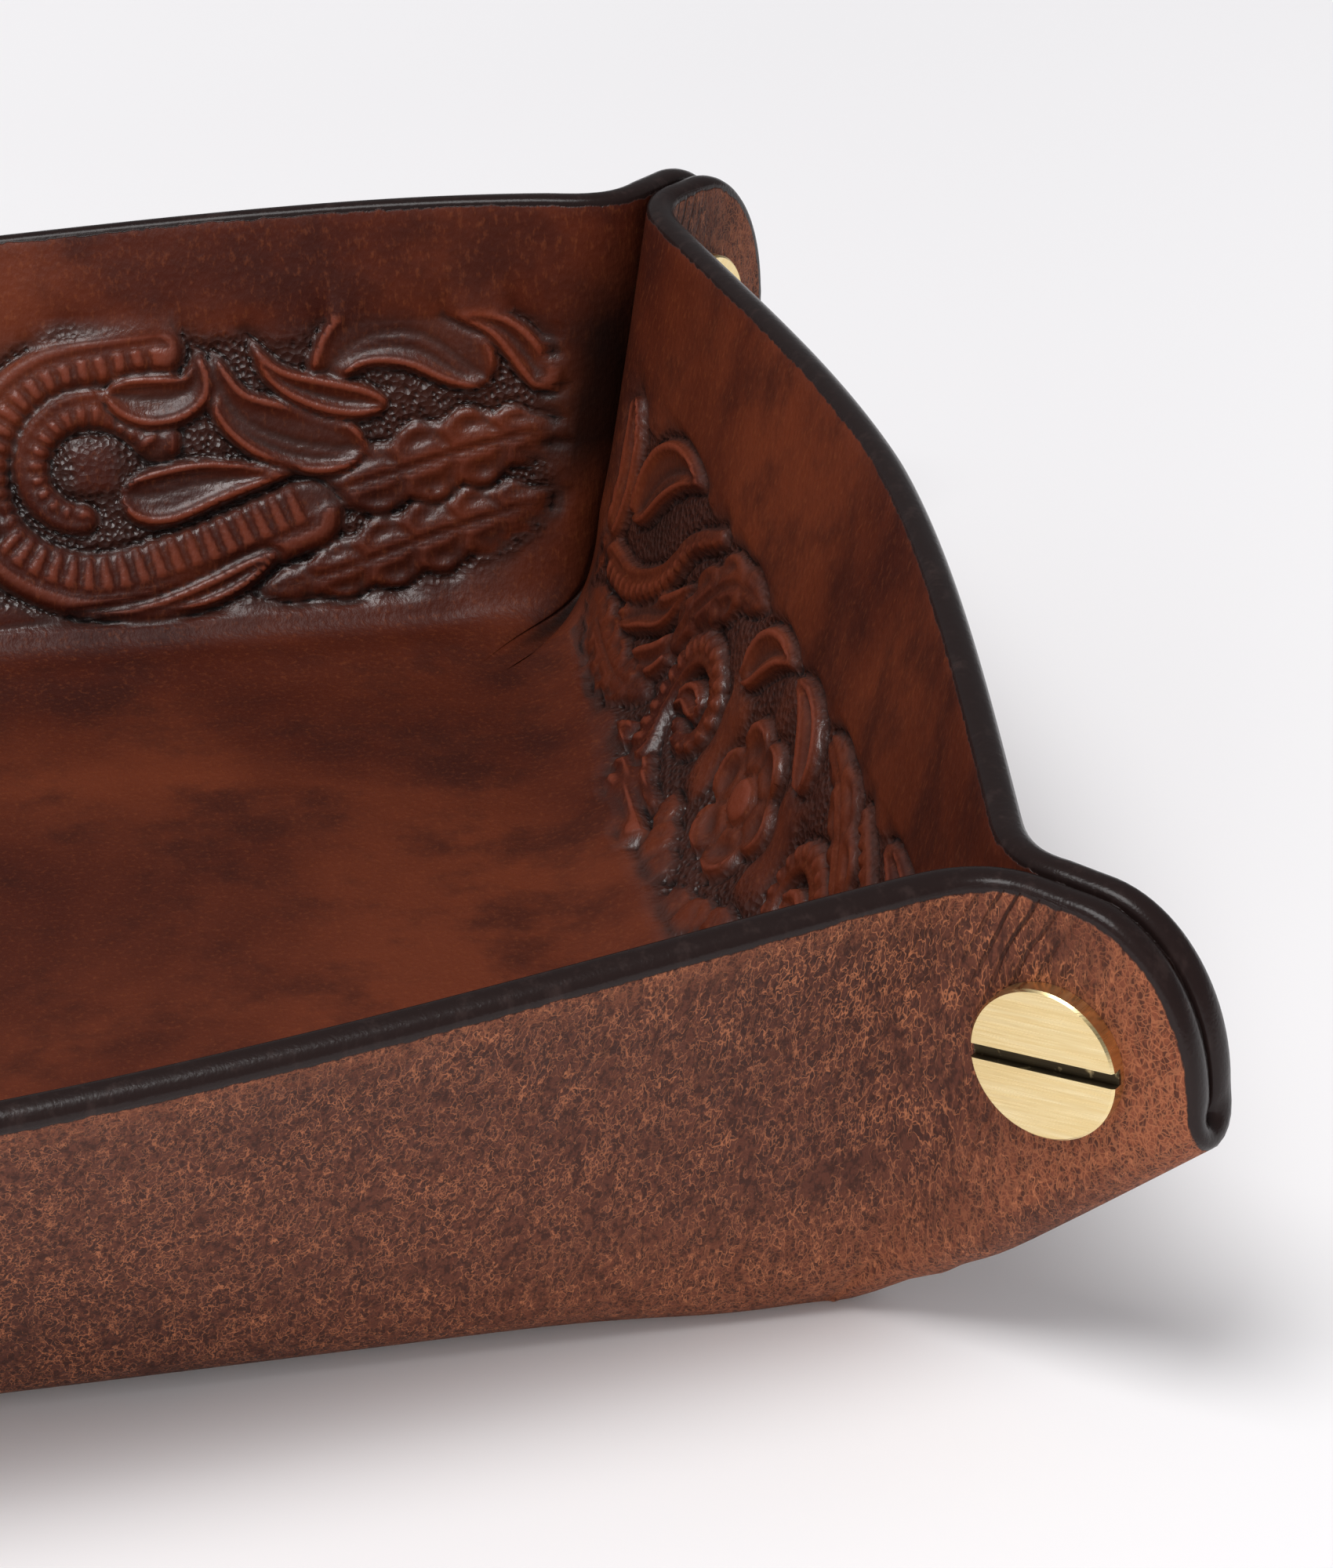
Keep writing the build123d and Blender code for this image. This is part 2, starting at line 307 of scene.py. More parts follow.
class Panel:
    """The tooled relief of one wall: height over (along, climb), 0 being the untouched grain."""

    def __init__(self, half_run):
        self.u = np.arange(-half_run, half_run, CELL)
        self.v = np.arange(-1.0, BAND, CELL)
        self.place = np.stack(np.meshgrid(self.u, self.v, indexing="ij"), -1)
        self.cover = np.full(self.place.shape[:2], UNCARVED)
        self.carved = np.zeros(self.place.shape[:2])
        self.over = np.full(self.place.shape[:2], UNCARVED)

    def near(self, line):
        """The cells about a line: share of the way along it, signed and plain distance, length."""
        length = np.concatenate([[0], np.cumsum(np.hypot(*np.diff(line, axis=0).T))])
        low = line.min(0) - 9
        high = line.max(0) + 9
        i0, i1 = np.searchsorted(self.u, (low[0], high[0]))
        j0, j1 = np.searchsorted(self.v, (low[1], high[1]))
        area = (slice(i0, max(i1, i0 + 1)), slice(j0, max(j1, j0 + 1)))
        place = self.place[area]
        best = np.full(place.shape[:2], 1e9)
        run = np.zeros(place.shape[:2])
        side = np.zeros(place.shape[:2])
        for k in range(len(line) - 1):
            a = line[k]
            step = line[k + 1] - a
            size = step @ step
            t = np.clip(((place - a) @ step) / size, 0, 1)
            gap = place - a - t[..., None] * step
            distance = np.hypot(gap[..., 0], gap[..., 1])
            nearer = distance < best
            best = np.where(nearer, distance, best)
            run = np.where(nearer, length[k] + t * sqrt(size), run)
            turn = np.sign(step[0] * gap[..., 1] - step[1] * gap[..., 0])
            side = np.where(nearer, distance * turn, side)
        return area, run / length[-1], side, best, length[-1]

    def lay(self, area, inside, relief):
        """Lays one motif over what is there: inside is the distance in from its outline."""
        free = inside > 0
        self.carved[area] = np.where(free, relief, self.carved[area])
        self.cover[area] = np.maximum(self.cover[area], inside)
        self.over[area] = np.where(free, inside, self.over[area])
        cut = CUT_DEPTH * np.exp(-(inside / 0.28) ** 2)
        self.carved[area] -= np.where(inside > -0.8, cut, 0)

    def stem(self, points, wide, narrow, ribs=0.0, pitch=1.5, ridge=0.28):
        """A stem or scroll that narrows along its line, with ribs pressed across one side."""
        area, run, side, gap, length = self.near(points)
        half = wide + (narrow - wide) * run
        inside = half - gap
        relief = ridge * np.sqrt(np.clip(1 - (gap / np.maximum(half, 0.1)) ** 2, 0, 1)) - 0.1
        if ribs:
            wave = (0.5 + 0.5 * np.cos(2 * pi * run * length / pitch)) ** 3
            place = side / np.maximum(half, 0.1) * ribs
            window = ramp(place, -0.25, 0.3)
            relief = relief - 0.42 * wave * window
            relief = relief - 0.3 * np.exp(-((place + 0.28) * half / 0.3) ** 2)
        self.lay(area, inside, relief)

    def petal(self, points, half, blunt=0.62, lines=2):
        """A petal or drop: a rolled rim round a hollow with a few curved cuts."""
        area, run, side, gap, _ = self.near(points)
        width = half * np.sin(pi * np.clip(run, 0, 1) ** blunt) ** 0.75
        width = np.where(run <= 0, half * 0.02, width)
        inside = width - gap
        relief = 0.3 * np.exp(-((inside - 0.55) / 0.4) ** 2)
        relief = relief - 0.3 * ramp(inside, 0.9, 0.8)
        for k in range(lines):
            place = width * (0.1 + 0.36 * k)
            cut = 0.28 * np.exp(-((side - place) / 0.22) ** 2)
            relief = relief - cut * ramp(inside, 0, 1.2)
        self.lay(area, inside, relief)

    def leaf(self, points, half, lobes=5, blunt=0.7):
        """A leaf with scalloped lobes, a middle vein and a pressed hollow in each lobe."""
        area, run, side, gap, _ = self.near(points)
        wave = np.abs(np.sin(pi * lobes * np.clip(run, 0, 1) ** 0.9 + 0.35))
        width = half * np.sin(pi * np.clip(run * 0.97 + 0.03, 0, 1) ** blunt) ** 0.6
        width = width * (0.74 + 0.26 * wave)
        inside = width - gap
        relief = 0.12 - 0.4 * np.exp(-(gap / 0.3) ** 2)
        lobe = np.abs(side) / np.maximum(width, 0.2)
        pressed = wave**2 * np.exp(-((lobe - 0.56) / 0.2) ** 2)
        relief = relief - 0.5 * pressed * np.clip(width / 2, 0, 1)
        between = np.abs(np.cos(pi * lobes * np.clip(run - 0.05 * lobe, 0, 1) ** 0.9 + 0.35)) ** 14
        relief = relief - 0.35 * between * (lobe > 0.25)
        self.lay(area, inside, relief)

    def flower(self, centre, size, petals=5, turn=0.0):
        """A small flower of round petals about a raised eye."""
        offset = self.place - np.array(centre)
        radius = np.hypot(offset[..., 0], offset[..., 1])
        angle = np.arctan2(offset[..., 1], offset[..., 0]) + turn
        wave = np.abs(np.cos(petals * angle / 2))
        width = size * (0.72 + 0.28 * wave**0.6)
        inside = width - radius
        area = (slice(None), slice(None))
        relief = 0.25 * np.exp(-((inside - 0.6) / 0.4) ** 2)
        relief = relief - 0.45 * np.exp(-((radius / size - 0.62) / 0.14) ** 2) * wave
        relief = relief - 0.45 * (1 - wave) ** 3 * (radius > size * 0.3)
        eye = np.clip(1 - (radius / (size * 0.3)) ** 2, 0, 1)
        relief = relief + 0.35 * np.sqrt(eye) - 0.4 * np.exp(-((radius - size * 0.32) / 0.25) ** 2)
        self.lay(area, inside, relief)

    def line(self, points, depth=0.3, width=0.25):
        """A plain cut of the knife."""
        area, _, _, gap, _ = self.near(points)
        self.carved[area] -= depth * np.exp(-((gap / width) ** 2))

    def matted(self):
        """1 on the ground that motifs enclose on all sides, 0 elsewhere."""
        wide = int(MATTED_GAP / CELL)
        share = np.pad((self.cover > -MATTED_GAP).astype(float), wide + 1)
        for axis in (0, 1):
            total = np.cumsum(share, axis)
            share = (np.roll(total, -wide, axis) - np.roll(total, wide + 1, axis)) / (2 * wide + 1)
        share = share[wide + 1:-wide - 1, wide + 1:-wide - 1]
        return ramp(share, 0.8, 0.15) * (self.cover <= 0)

    def relief(self):
        """The carved motifs with the ground pressed down beside them."""
        outside = np.minimum(self.cover, 0)
        ground = np.maximum(np.exp(outside / 1.3), self.matted())
        pressed = -GROUND_DEPTH * ground * (self.cover <= 0)
        shoulder = -0.22 * np.exp(-np.maximum(self.over, 0) / 0.35) * (self.cover > 0)
        band = ramp(self.v, -1.0, 0.8) * ramp(self.v, BAND - 1, -0.8)
        return (self.carved + pressed + shoulder) * band[None, :]

    def sample(self, field, u, v):
        """A field of the panel, its relief or its matted ground, at the given places."""
        i = np.clip((u - self.u[0]) / CELL, 0, len(self.u) - 1.001)
        j = np.clip((v - self.v[0]) / CELL, 0, len(self.v) - 1.001)
        a = i.astype(int)
        b = j.astype(int)
        s = i - a
        t = j - b
        value = field[a, b] * (1 - s) * (1 - t) + field[a + 1, b] * s * (1 - t)
        value = value + field[a, b + 1] * (1 - s) * t + field[a + 1, b + 1] * s * t
        beyond = (u < self.u[0]) | (u > self.u[-1]) | (v < self.v[0]) | (v > self.v[-1])
        return np.where(beyond, 0, value)


def mirrored(line, s):
    """A line on one half of the wall, s being 1, or mirrored to the other, s being -1."""
    return line * np.array((s, 1))


def curve(s, *points, count=70):
    """A smooth line through points, on one half of the wall or mirrored to the other."""
    return trace([(s * u, v) for u, v in points], count)


def long_panel():
    panel = Panel(79.5)
    for s in (1, -1):
        # the corner's leaf and the sprigs over it
        panel.leaf(curve(s, (77, 7.2), (69, 5), (61.5, 2.7), (54.5, 1.2)), 3.3, 6)
        panel.leaf(curve(s, (77.6, 13), (71.5, 11.6), (64.5, 9.7), (57, 8)), 3.5, 5)
        panel.petal(curve(s, (74, 17.2), (69, 21.3), (63.5, 20.7), (59.3, 15.5)), 3.5)
        panel.petal(curve(s, (64, 12.2), (58, 13.5), (54, 16), (52.8, 20.5)), 3.0)
        # the great ribbed scroll
        scroll = curve(s, (59, 7.2), (50, 4.2), (42, 2.8), (36, 5.5), (33.8, 10.5), (35.5, 16),
                       (40, 19.5), (48.5, 20.8), count=120)
        panel.stem(scroll, 2.9, 2.2, ribs=-s, pitch=1.45)
        inner = mirrored(spiral((42.2, 11.4), 6.2, 3.4, 0.06, 0.66), s)
        panel.stem(inner, 1.9, 1.3, ribs=s, pitch=1.25)
        panel.petal(curve(s, (44.8, 9.6), (47.5, 9.3), (52, 10.2), (58.5, 10.6)), 2.5, 0.5)
        panel.petal(curve(s, (44, 17.6), (48, 16.8), (51, 17.6), (51.8, 20.8)), 2.3, 0.7)
        # the stem that runs on to the middle, with its own leaf and drops
        stem = curve(s, (33.5, 8), (28, 4.4), (21, 3.4), (14.5, 5.6), (10.5, 9.5))
        panel.stem(stem, 1.9, 1.1, ribs=-s, pitch=1.4)
        panel.leaf(curve(s, (31.5, 12), (27, 16.5), (21.5, 18.8), (15, 18.2)), 3.2, 5)
        panel.petal(curve(s, (26.5, 9.2), (22, 11.6), (17.5, 11.4), (14, 8.8)), 2.5)
        panel.petal(curve(s, (32.5, 2), (28.5, 0.6), (24, 0.5), (19.5, 0.9)), 1.2, 0.6, 1)
        panel.petal(curve(s, (13.5, 15.2), (11.8, 18.6), (8, 21.5), (3.5, 21.4)), 2.2)
        panel.petal(curve(s, (78.2, 16), (77, 19), (74.6, 21.6), (70.5, 22.6)), 1.7, 0.6, 1)
        panel.petal(curve(s, (66, 15.6), (61.5, 16.4), (57.5, 18.2), (55.4, 21.6)), 1.7, 0.6, 1)
        panel.petal(curve(s, (56.5, 4.4), (51.5, 1.9), (46, 0.5), (40, 0.6)), 1.3, 0.6, 1)
        panel.line(curve(s, (52, 0.2), (30, -0.1), (0, -0.2)), 0.3)
    panel.flower((0, 10.4), 7.6, 5, pi / 10)
    return panel


def short_panel():
    panel = Panel(49)
    for s in (1, -1):
        panel.line(curve(s, (44, 0.1), (20, -0.2), (0, 0.0)), 0.42, 0.3)
        panel.petal(curve(s, (46.5, 20.5), (44.5, 15), (45, 9), (47.5, 3.5)), 1.9, 0.6, 1)
        panel.petal(curve(s, (36.5, 5.6), (33, 8.6), (28.5, 11), (24.5, 15.5)), 2.0, 0.6, 2)
        panel.petal(curve(s, (30.5, 5.2), (26.8, 7.4), (24.8, 10.4), (24.4, 14.4)), 1.7, 0.6, 1)
        panel.petal(curve(s, (24.5, 2.2), (19.5, 3.4), (13.5, 2.6), (8.2, 3.4)), 1.4, 0.6, 1)
        panel.leaf(curve(s, (44.5, 3.6), (37, 2.9), (30, 3.4), (24, 5.8)), 2.9, 6)
        stem = curve(s, (43, 7.5), (37, 8.6), (31, 12.5), (27.5, 17), (22.5, 20.2))
        panel.stem(stem, 1.9, 0.9, ribs=s, pitch=1.3)
        panel.petal(curve(s, (41, 12.5), (38, 17.5), (33.5, 20.4), (28.5, 21.2)), 2.7)
        panel.leaf(curve(s, (24.5, 10.4), (21.5, 15.2), (16.5, 19.4), (10, 21)), 3.0, 4)
        scroll = mirrored(spiral((15.6, 9.2), 6.6, 2.0, -0.16, 0.98), s)
        panel.stem(scroll, 2.0, 1.0, ribs=-s, pitch=1.3)
        panel.petal(curve(s, (14.4, 9.4), (16.4, 9.8), (18.2, 9.0), (18.6, 7.2)), 1.6, 0.6, 1)
        panel.petal(curve(s, (20, 1.6), (14, 0.6), (9, 0.9), (4.5, 2.4)), 1.5, 0.7, 1)
        panel.petal(curve(s, (9.2, 15.4), (7.2, 18.6), (4.2, 20.4), (0.4, 20.9)), 2.1, 0.6, 1)
        panel.leaf(curve(s, (9.8, 4.6), (6.8, 2.9), (3.6, 2.1), (0.2, 1.9)), 1.7, 3)
    panel.flower((0, 10.2), 6.4, 6, 0.0)
    return panel


long_relief = long_panel()
short_relief = short_panel()
depth = np.zeros((columns, rows))
matted = np.zeros((columns, rows))
for panel, own_walls in ((long_relief, (0, 2)), (short_relief, (1, 3))):
    relief = panel.relief()
    ground = panel.matted()
    for wall in own_walls:
        here = walls == wall
        depth[here] = panel.sample(relief, along[here], climb[here])
        matted[here] = panel.sample(ground, along[here], climb[here])

# The skin: grain side up from the floor, over the rounded painted edge, down the flesh side and
# back under the floor. The foot of the long walls is filled a little on the grain side.
FOOT_FILL = 0.6
FOOT_REACH = 3.4
FILL_ENDS_WITHIN = 8
from_foot = climb - climb[:, :1]
filled = ramp(np.abs(middle[:, :1, 0]), HALF_LENGTH, -FILL_ENDS_WITHIN) * on_long_wall[:, None]
fill = FOOT_FILL * filled * np.exp(-(from_foot / FOOT_REACH) ** 2)
grain = middle + (HALF_SHEET + depth[..., None] + fill[..., None]) * normal
flesh = middle - HALF_SHEET * normal
flesh_rows = [np.arange(0, 8, 2), np.arange(8, rows - 6, 4), np.arange(rows - 6, rows)]
flesh_rows = np.concatenate(flesh_rows)
edge = []
for turn in np.linspace(pi / 2, -pi / 2, 8)[1:-1]:
    aside = HALF_SHEET * sin(turn) * normal[:, -1]
    above = (EDGE_ROUND + 0.1) * cos(turn) * upward
    edge.append(middle[:, -1] + aside + above)
edge = np.stack(edge, 1)

# the floor's rings of points run in from the foot to a flat middle with rounded corners
FLOOR_STEPS = (0.05, 0.11, 0.18, 0.26, 0.36, 0.5, 0.7, 0.94, 1.0)
TURN_INSET = 26
TURN_RADIUS = 10
foot = middle[:, 0]
turn_centre = np.array((HALF_LENGTH - TURN_INSET, HALF_WIDTH - TURN_INSET, 0))
outwards = (foot - np.clip(foot, -turn_centre, turn_centre)) * (1, 1, 0)
inset = foot - outwards + TURN_RADIUS * unit(outwards)
floor_ring = np.stack([foot + (inset - foot) * step for step in FLOOR_STEPS], 1)
lift = np.zeros(floor_ring.shape)
lift[..., 2] = HALF_SHEET
run_in = np.linalg.norm(floor_ring - foot[:, None], axis=2)
raised = lift.copy()
raised[..., 2] += FOOT_FILL * filled * np.exp(-(run_in / FOOT_REACH) ** 2)
floor_top = (floor_ring + raised)[:, ::-1]
skin = [floor_top, grain, edge, flesh[:, flesh_rows][:, ::-1], floor_ring - lift]
skin = np.concatenate(skin, 1)

# the leather is worked soft where floor, walls and ear meet
RELAXED_AT = (78.0, 48.0, 2.5)
RELAXED_WITHIN = 9.0
KNEE_FOOT = (79.4, 49.5, 3.0)
KNEE_WITHIN = 5.5
SOFTENING_ROUNDS = 30
grain_rows = len(FLOOR_STEPS) + rows


def softened(place, within):
    """Up to 0.8 about one place at each corner, 0 beyond the given distance from it."""
    distance = np.linalg.norm(np.abs(skin) - np.array(place), axis=2, keepdims=True)
    return np.clip(1.3 * (1 - distance / within), 0, 0.8)


relaxed = softened(RELAXED_AT, RELAXED_WITHIN)
across_knee = softened(KNEE_FOOT, KNEE_WITHIN)
across_knee[:, :grain_rows] = 0
for _ in range(SOFTENING_ROUNDS):
    beside = np.roll(skin, 1, 0) + np.roll(skin, -1, 0)
    skin += across_knee * (beside / 2 - skin)
    beside[:, 1:-1] += skin[:, 2:] + skin[:, :-2]
    skin[:, 1:grain_rows] += (relaxed * (beside / 4 - skin))[:, 1:grain_rows]

# the foot of each wall runs on into the ear's fold in one even curve
FOOT_EASES = (
    ((82.9, 54.9, 4.6), (3.0, 3.0, 3.6), (-0.2, -0.2, 0.5)),
    ((72.0, 49.8, 0.9), (8.0, 3.2, 2.4), (0, 0.55, -0.45)),
    ((79.8, 42.0, 0.9), (3.2, 8.0, 2.4), (0.55, 0, -0.45)),
)
outward_signs = np.sign(skin) * (1, 1, 0) + np.array((0, 0, 1))
skin_place = np.abs(skin)
for place, spread, move in FOOT_EASES:
    nearness = np.exp(-(((skin_place - place) / spread) ** 2).sum(2))
    skin += nearness[..., None] * outward_signs * move
skin[..., 2] = np.maximum(skin[..., 2], 0)


# Where the flesh side is paler, where it is wrinkled and where light on the ear is painted lighter,
# and the painted shade where the grain side goes into an ear. Distances are kept in millimetres,
# so that they stay true across wide faces.
def skin_values(on_grain, on_edge, on_flesh):
    """One value per point of the skin, from values on the walls' rows or single numbers."""
    grain_part = np.broadcast_to(on_grain, depth.shape)
    flesh_part = np.broadcast_to(on_flesh, depth.shape)[:, flesh_rows][:, ::-1]
    edge_part = np.full((columns, edge.shape[1]), float(on_edge))
    first = np.repeat(grain_part[:, :1], len(FLOOR_STEPS), 1)
    last = np.repeat(flesh_part[:, -1:], len(FLOOR_STEPS), 1)
    return np.concatenate([first, grain_part, edge_part, flesh_part, last], 1)


level = middle[..., 2]
from_rim = climb[:, -1:] - climb
past_corner = reach - face_offset(level, CORNER) / DIAGONAL
# painted shade on the grain side: dark into the gap of each ear, and a band at mid height beside each corner,
# strongest on the long walls
hollow = ramp(past_corner, -1.6, 3.2)
shade = ramp(past_corner, -5, 3.2) * ramp(level, 9, 6) * ramp(level, 32, -7)
hollow = np.maximum(hollow, np.where(on_long_wall, 1.0, 0.35)[:, None] * shade)
# the flesh side is paler under the rim and near the foot by the ear; past the post the ear is painted lighter, a
# painted light where the light falls on it
paler_and_lit = np.maximum(0.4 * np.exp(-(from_rim / 1.8) ** 2), 0.8 * ramp(reach, 13.5, 6))
paler_and_lit = np.maximum(paler_and_lit, 0.85 * ramp(level, 12, -10) * ramp(reach, -22, 30))
wrinkled = np.exp(-((reach - 10.2) / 3.0) ** 2) * ramp(level, 25, 5)
fields = {
    "flesh_side": skin_values(0, 0.5, 1),
    "from_rim": skin_values(from_rim, 0, from_rim),
    "tooling": skin_values(depth, 0, 0),
    "matted": skin_values(matted, 0, 0),
    "hollow": skin_values(hollow, 0, 0),
    "paler_and_lit": skin_values(0, 0, paler_and_lit),
    "wrinkled": skin_values(0, 0, wrinkled),
    "slant": skin_values(0, 0, reach - 0.45 * level),
}

# the painted shade of an ear ends where its foot runs out on the floor
EAR_SHADE_ON_FLOOR = 1.6
on_floor = slice(0, len(FLOOR_STEPS))
fields["hollow"][:, on_floor] *= ramp(run_in[:, ::-1], EAR_SHADE_ON_FLOOR, -EAR_SHADE_ON_FLOOR)
across_count = skin.shape[1]

# the mesh: a grid wrapped round the sheet, its two open rings filled as the flat of the floor
SEAM_GAP = 0.002
LEAST_EDGE = 0.03
MOST_TRIANGLES = 195000
bpy.ops.mesh.primitive_grid_add(x_subdivisions=columns, y_subdivisions=across_count - 1, size=1)
leather = bpy.context.object
leather.name = "tooled_leather_sheet"
mesh = leather.data
place = np.zeros(len(mesh.vertices) * 3)
mesh.vertices.foreach_get("co", place)
place = place.reshape(-1, 3)
column = np.rint((place[:, 0] + 0.5) * columns).astype(int) % columns
row = np.rint((place[:, 1] + 0.5) * (across_count - 1)).astype(int)
mesh.vertices.foreach_set("co", (skin[column, row] * MM).ravel())
for name, values in fields.items():
    layer = mesh.attributes.new(name, "FLOAT", "POINT")
    layer.data.foreach_set("value", values[column, row])
first_edge = len(FLOOR_STEPS) + rows
last_edge = first_edge + edge.shape[1]
rim_rows = np.flatnonzero((row >= first_edge - 2) & (row < last_edge + 3))
leather.vertex_groups.new(name="painted_rim").add(rim_rows.tolist(), 1.0, "REPLACE")
bpy.ops.object.mode_set(mode="EDIT")
bpy.ops.mesh.select_all(action="SELECT")
bpy.ops.mesh.remove_doubles(threshold=SEAM_GAP * MM)
bpy.ops.mesh.select_all(action="DESELECT")
bpy.ops.mesh.select_non_manifold(extend=False)
bpy.ops.mesh.edge_face_add()
bpy.ops.mesh.select_all(action="SELECT")
bpy.ops.mesh.remove_doubles(threshold=LEAST_EDGE * MM)
bpy.ops.mesh.normals_make_consistent(inside=False)
bpy.ops.object.mode_set(mode="OBJECT")
bpy.ops.object.shade_smooth()
thin = leather.modifiers.new("fewer faces on plain leather", "DECIMATE")
thin.ratio = MOST_TRIANGLES / (2 * len(mesh.polygons))
thin.vertex_group = "painted_rim"
thin.invert_vertex_group = True
thin.vertex_group_factor = 1.0
bpy.ops.object.modifier_apply(modifier=thin.name)


# Leather finish: a reddish brown dye, wiped darker into the tooling, over an oiled grain side;
# the flesh side is burnished, with a fine broken net of paler fibre; the edges are painted dark.
# Light and shade are painted into the colour as well: shade in the ears and creases, a sheen in the pressed
# ground, and highlights on the crests, the lit ear and the worn paint.
def new_material(name):
    """A material with no nodes yet, and its node tree."""
    material = bpy.data.materials.new(name)
    material.use_nodes = True
    material.node_tree.nodes.clear()
    return material, material.node_tree


def node(tree, kind, settings=None, **inputs):
    """Adds a node; inputs named by their label, spaces written as _, take a value or a socket."""
    made = tree.nodes.new("ShaderNode" + kind)
    for key, value in (settings or {}).items():
        setattr(made, key, value)
    for key, value in inputs.items():
        key = key.replace("_", " ")
        numbered = key[0] == "i" and key[1:].isdigit()
        socket = made.inputs[int(key[1:]) if numbered else key]
        if isinstance(value, bpy.types.NodeSocket):
            tree.links.new(value, socket)
        else:
            socket.default_value = value
    return made


def field(tree, name):
    return node(tree, "Attribute", {"attribute_name": name}).outputs["Fac"]


def maths(tree, operation, first, second=0.0):
    return node(tree, "Math", {"operation": operation}, i0=first, i1=second).outputs[0]


def times(tree, first, second):
    return maths(tree, "MULTIPLY", first, second)


def vector_maths(tree, operation, first, second, third=(0.0, 0.0, 0.0)):
    return node(tree, "VectorMath", {"operation": operation}, i0=first, i1=second, i2=third)


def fit(tree, value, low, high, to_low=0.0, to_high=1.0):
    """Value from low..high mapped smoothly to to_low..to_high."""
    made = node(tree, "MapRange", {"interpolation_type": "SMOOTHSTEP"}, Value=value)
    for index, number in enumerate((low, high, to_low, to_high)):
        made.inputs[index + 1].default_value = number
    return made.outputs[0]


def mix(tree, factor, first, second):
    return node(tree, "Mix", {"data_type": "RGBA"}, i0=factor, i6=first, i7=second).outputs[2]


def noise(tree, place, scale, detail=4.0, roughness=0.55, distortion=0.0):
    made = node(tree, "TexNoise", Vector=place, Scale=scale, Detail=detail, Roughness=roughness)
    made.inputs["Distortion"].default_value = distortion
    return made.outputs["Fac"]


def squiggles(tree, place, scale, width):
    """Thin winding lines where a noise passes its middle value."""
    off_middle = maths(tree, "SUBTRACT", noise(tree, place, scale, 2, 0.5), 0.5)
    return fit(tree, maths(tree, "ABSOLUTE", off_middle), width, 0.0)


def rgb(red, green, blue):
    return (red, green, blue, 1.0)


def blend(tree, factor, first, second):
    """A number between two others, as mix is for colours."""
    return node(tree, "Mix", {"data_type": "FLOAT"}, i0=factor, i2=first, i3=second).outputs[0]


DYE_DARK = rgb(0.054, 0.0092, 0.0043)
DYE_WARM = rgb(0.132, 0.0265, 0.0095)
DYE_STAIN = rgb(0.032, 0.0062, 0.0036)
DYE_SPECK = rgb(0.220, 0.058, 0.019)
PRESSED_ANTIQUE_AND_SHEEN = rgb(0.034, 0.0150, 0.0118)
MATTED_BROWN = rgb(0.013, 0.0060, 0.0048)
CUT_BROWN = rgb(0.010, 0.0042, 0.0033)
# a painted highlight on the crests of the tooling
CREST_HIGHLIGHT_RED = rgb(0.190, 0.038, 0.0160)
# painted shade in the gap of the ears
PAINTED_EAR_SHADE = rgb(0.006, 0.0025, 0.0018)
FLESH_DARK = rgb(0.060, 0.0190, 0.0125)
FLESH_WARM = rgb(0.100, 0.0310, 0.0180)
FLESH_PALER_AND_LIT = rgb(0.215, 0.0590, 0.0260)
FLESH_SPECK = rgb(0.026, 0.0092, 0.0070)
FIBRE = rgb(0.360, 0.125, 0.056)
PAINTED_CREASE_SHADE = rgb(0.016, 0.0060, 0.0045)
PAINT = rgb(0.0150, 0.0085, 0.0078)
PAINT_WORN_AND_HIGHLIGHT = rgb(0.026, 0.0155, 0.0140)

leather_skin, tree = new_material("antiqued_brown_leather")
place = node(tree, "TexCoord").outputs["Object"]
tall = vector_maths(tree, "MULTIPLY", place, (1.0, 1.0, 0.38)).outputs[0]
on_flesh = fit(tree, field(tree, "flesh_side"), 0.45, 0.55)
tooling = field(tree, "tooling")
matted_here = field(tree, "matted")
paler_and_lit_here = field(tree, "paler_and_lit")
cloud = noise(tree, place, 26, 4, 0.6, 0.4)
patch = noise(tree, place, 130, 4, 0.62)
fine = noise(tree, tall, 2500, 2, 0.7)
broken = noise(tree, tall, 700, 3, 0.7)
cells = node(tree, "TexVoronoi", {"feature": "F1"}, Vector=place, Scale=1900.0).outputs["Distance"]

# the grain side: clouded dye, then darker ground with a painted grey sheen and cuts, crests painted lighter red
# as a highlight, and the painted shade in the ears
# the pressed ground: darker where the antique settles, with a greyish tint that is a painted sheen
pressed = times(tree, fit(tree, tooling, -0.10, -0.5), fit(tree, patch, 0.3, 0.65, 0.9, 0.5))
stippled = times(tree, matted_here, fit(tree, cells, 0.45, 0.15, 0.2, 0.8))
cuts = times(tree, fit(tree, tooling, -0.62, -1.0), 0.9)
# painted highlight: the crests of the tooling are painted lighter and redder
crest_highlight = fit(tree, tooling, 0.0, 0.2, 0, 0.8)
grain_colour = mix(tree, fit(tree, cloud, 0.34, 0.66), DYE_DARK, DYE_WARM)
grain_colour = mix(tree, fit(tree, patch, 0.42, 0.7, 0, 0.7), grain_colour, DYE_STAIN)
grain_colour = mix(tree, fit(tree, fine, 0.5, 0.78, 0, 0.3), grain_colour, DYE_SPECK)
grain_colour = mix(tree, pressed, grain_colour, PRESSED_ANTIQUE_AND_SHEEN)
grain_colour = mix(tree, stippled, grain_colour, MATTED_BROWN)
grain_colour = mix(tree, cuts, grain_colour, CUT_BROWN)
grain_colour = mix(tree, crest_highlight, grain_colour, CREST_HIGHLIGHT_RED)
# painted shade where the grain side goes into an ear
grain_colour = mix(tree, times(tree, field(tree, "hollow"), 0.93), grain_colour, PAINTED_EAR_SHADE)

